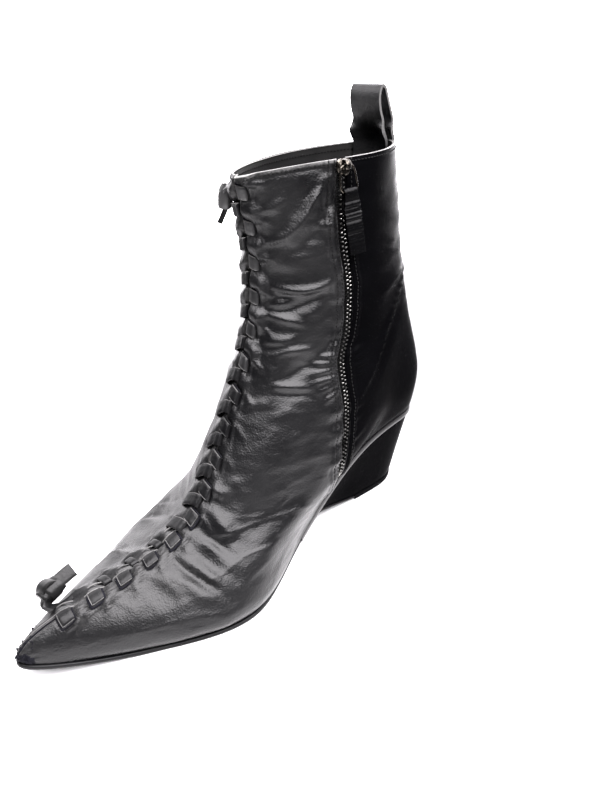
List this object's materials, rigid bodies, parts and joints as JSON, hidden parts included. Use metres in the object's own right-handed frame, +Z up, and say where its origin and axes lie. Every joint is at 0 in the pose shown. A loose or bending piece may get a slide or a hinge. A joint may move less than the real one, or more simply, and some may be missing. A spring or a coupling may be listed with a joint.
{
  "type": "wedge ankle boot",
  "caption": "Pointed ankle boot on a covered wedge heel, laced down its front seam with a flat leather strap, with a zip on the inner side and a pull loop at the back.",
  "frame": {"origin": "middle of the top lift's floor face, under the heel", "axes": "+Z up, the toe towards -X, the inner side with the zip towards -Y"},
  "size_m": [0.2614, 0.0853, 0.2304],
  "materials": {
    "upper_leather": "soft glossy black leather with creases",
    "insole_board": "matt dark footbed",
    "outsole_leather": "matt black sole",
    "wedge_leather": "smooth glossy black cover",
    "lift_rubber": "matt black",
    "loop_leather": "folded black strap",
    "tape_fabric": "black woven tape",
    "chain_metal": "dark gunmetal teeth",
    "slider_metal": "aged silver",
    "link_metal": "aged silver",
    "tab_leather": "folded black strap",
    "lace_leather": "flat black strap",
    "toe_knot_leather": "knotted black strap end",
    "top_knot_leather": "knotted black strap end"
  },
  "bodies": {
    "boot": {"upper": "upper_leather", "insole": "insole_board", "outsole": "outsole_leather", "wedge": "wedge_leather", "top_lift": "lift_rubber", "pull_loop": "loop_leather", "zip_tape": "tape_fabric", "zip_chain": "chain_metal", "zip_slider": "slider_metal", "lace": "lace_leather", "toe_knot": "toe_knot_leather", "top_knot": "top_knot_leather"},
    "zip_pull": {"zip_link": "link_metal", "zip_tab": "tab_leather"}
  },
  "joints": [
    {"name": "zip_pull_hinge", "type": "hinge", "parent": "boot", "child": "zip_pull", "pos_m": [-0.05555, -0.02923, 0.19993], "axis": [-0.9519, 0.2836, -0.1163], "range_deg": [0, 150]}
  ]
}
